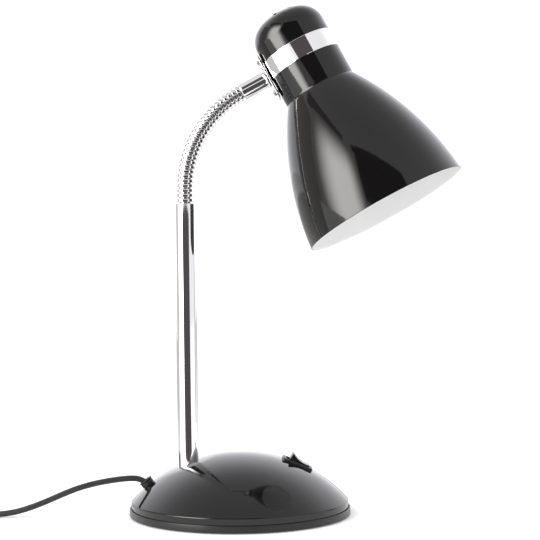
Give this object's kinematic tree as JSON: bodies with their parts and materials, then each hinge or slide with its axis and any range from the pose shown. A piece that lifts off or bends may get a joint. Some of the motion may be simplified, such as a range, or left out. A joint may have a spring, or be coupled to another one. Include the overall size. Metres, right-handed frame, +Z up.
{
  "type": "desk lamp",
  "caption": "Desk lamp: domed weighted base, upright tube, flexible jointed neck, flared metal shade with vented cap and chrome band, rocker switch and corded plug.",
  "frame": {"origin": "middle of the pad's underside, on the surface the lamp stands on", "axes": "+Z up; +X from the pole towards the side the neck bends to; +Y away from the viewer of the picture"},
  "size_m": [0.4124, 0.195, 0.344],
  "materials": {
    "pad": "matt foam rubber",
    "tray": "satin moulding",
    "steel": "bare steel",
    "cover": "high gloss",
    "chrome": "bright chrome",
    "lacquer": "high-gloss lacquer, white inside the shade",
    "holder": "moulded",
    "brass": "bare brass",
    "switch": "semi-gloss",
    "cord": "smooth flexible sheath",
    "plug": "satin moulding"
  },
  "bodies": {
    "base": {"base_pad": "pad", "base_tray": "tray", "ballast": "steel", "cover_screws": "steel", "base_cover": "cover", "pole_socket": "steel", "socket_screws": "steel", "pole": "chrome", "neck_link_0": "chrome", "switch_housing": "switch", "switch_terminals": "brass", "cord_bush": "cord", "cord_lead": "cord", "cord_clip": "plug", "cord_free": "cord", "cord_coil": "cord", "cord_tail": "cord", "plug_body": "plug", "plug_pins": "brass"},
    "neck_1": {"neck_link_1": "chrome"},
    "neck_2": {"neck_link_2": "chrome"},
    "neck_3": {"neck_link_3": "chrome"},
    "neck_4": {"neck_link_4": "chrome"},
    "neck_5": {"neck_link_5": "chrome"},
    "neck_6": {"neck_link_6": "chrome"},
    "neck_7": {"neck_link_7": "chrome"},
    "head": {"neck_link_8": "chrome", "arm_sleeve": "chrome", "bracket_plate": "chrome", "bracket_screw_low": "chrome", "bracket_screw_high": "chrome", "head_band": "chrome", "shade": "lacquer", "shade_cap": "lacquer", "holder_bracket": "steel", "holder_nipple": "steel", "lamp_holder": "holder", "holder_thread": "steel", "holder_contact": "brass"},
    "rocker": {"switch_rocker": "switch"}
  },
  "joints": [
    {"name": "neck_bend_1", "type": "hinge", "parent": "base", "child": "neck_1", "pos_m": [-0.0349, 0, 0.222], "axis": [0, 1, 0], "range_deg": [-12.4, 8]},
    {"name": "neck_sway_2", "type": "hinge", "parent": "neck_1", "child": "neck_2", "pos_m": [-0.03424, 0, 0.23179], "axis": [0.9908, 0, -0.1351], "range_deg": [-10, 10]},
    {"name": "neck_bend_3", "type": "hinge", "parent": "neck_2", "child": "neck_3", "pos_m": [-0.03225, 0, 0.24141], "axis": [0, 1, 0], "range_deg": [-12.4, 8]},
    {"name": "neck_bend_4", "type": "hinge", "parent": "neck_3", "child": "neck_4", "pos_m": [-0.02899, 0, 0.25066], "axis": [0, 1, 0], "range_deg": [-12.4, 8]},
    {"name": "neck_sway_5", "type": "hinge", "parent": "neck_4", "child": "neck_5", "pos_m": [-0.02451, 0, 0.25939], "axis": [0.8567, 0, -0.5158], "range_deg": [-10, 10]},
    {"name": "neck_bend_6", "type": "hinge", "parent": "neck_5", "child": "neck_6", "pos_m": [-0.01889, 0, 0.26744], "axis": [0, 1, 0], "range_deg": [-12.4, 8]},
    {"name": "neck_sway_7", "type": "hinge", "parent": "neck_6", "child": "neck_7", "pos_m": [-0.01224, 0, 0.27465], "axis": [0.6874, 0, -0.7263], "range_deg": [-10, 10]},
    {"name": "neck_bend_8", "type": "hinge", "parent": "neck_7", "child": "head", "pos_m": [-0.00467, 0, 0.2809], "axis": [0, 1, 0], "range_deg": [-12.4, 8]},
    {"name": "rocker_press", "type": "hinge", "parent": "base", "child": "rocker", "pos_m": [0.03883, 0, 0.03354], "axis": [0, 1, 0], "range_deg": [-32, 0]}
  ]
}
